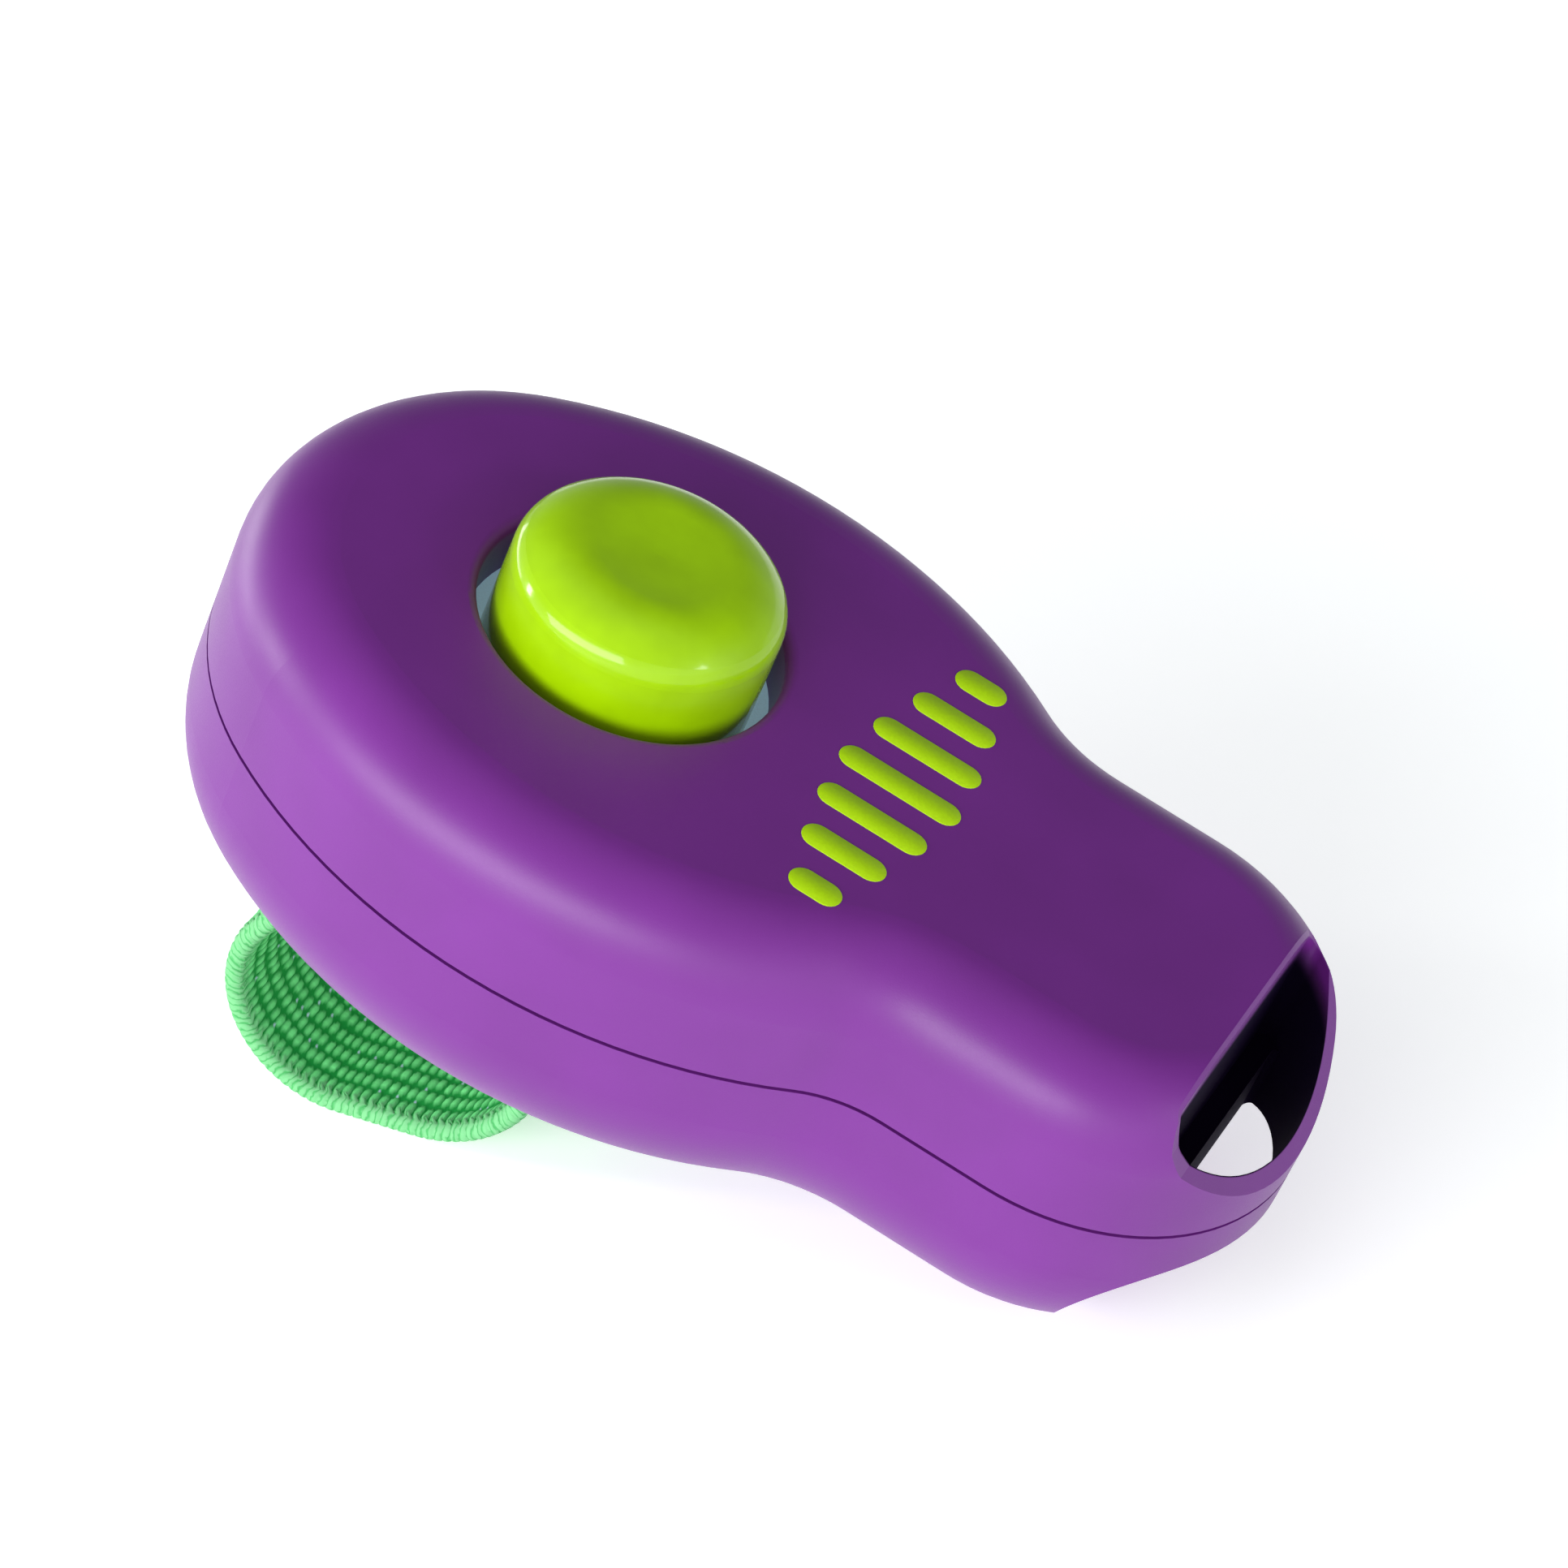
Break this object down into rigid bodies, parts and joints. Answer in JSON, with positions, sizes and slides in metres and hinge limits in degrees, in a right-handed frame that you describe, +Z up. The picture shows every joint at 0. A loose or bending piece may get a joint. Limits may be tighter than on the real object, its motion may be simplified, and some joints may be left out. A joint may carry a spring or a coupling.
{
  "type": "dog training clicker",
  "caption": "Pear-shaped thumb-button training clicker with a two-part case, spring-steel leaf, lanyard tunnel and elastic finger band.",
  "frame": {"origin": "centre of the footprint, on the table the clicker stands on, in its resting attitude on the finger band and the tip's lower edge", "axes": "+X along the case towards the tip, which points 20.33 degrees nose-down; +Y across the case; +Z up from the table"},
  "size_m": [0.0624, 0.0384, 0.0379],
  "materials": {
    "purple_plastic": "satin moulded purple plastic with a fine grain, near black inside the tip tunnel",
    "lime_plastic": "glossy lime",
    "grey_plastic": "light blue-grey moulded plastic",
    "spring_steel": "blued and brushed spring steel",
    "plated_steel": "zinc plated",
    "green_elastic": "woven elastic webbing with covered rubber cores",
    "green_thread": "sewing thread"
  },
  "bodies": {
    "case": {"upper_shell": "purple_plastic", "lower_shell": "purple_plastic", "leaf_root": "spring_steel", "leaf_clamp": "plated_steel", "leaf_screws": "plated_steel", "case_screws": "plated_steel", "finger_band": "green_elastic", "band_stitches": "green_thread"},
    "button": {"button_cap": "lime_plastic", "button_plunger": "grey_plastic"},
    "leaf": {"leaf_tongue": "spring_steel"}
  },
  "joints": [
    {"name": "button_press", "type": "slide", "parent": "case", "child": "button", "axis": [-0.3474, 0, -0.9377], "range_m": [0, 0.0018], "stiffness_N_per_m": 2500},
    {"name": "leaf_flex", "type": "hinge", "parent": "case", "child": "leaf", "pos_m": [0.00155, 0, 0.01625], "axis": [0, -1, 0], "range_deg": [0, 8.5]}
  ],
  "couplings": [
    {"joint": "leaf_flex", "follows": "button_press", "rad_per_m": 75.758}
  ]
}
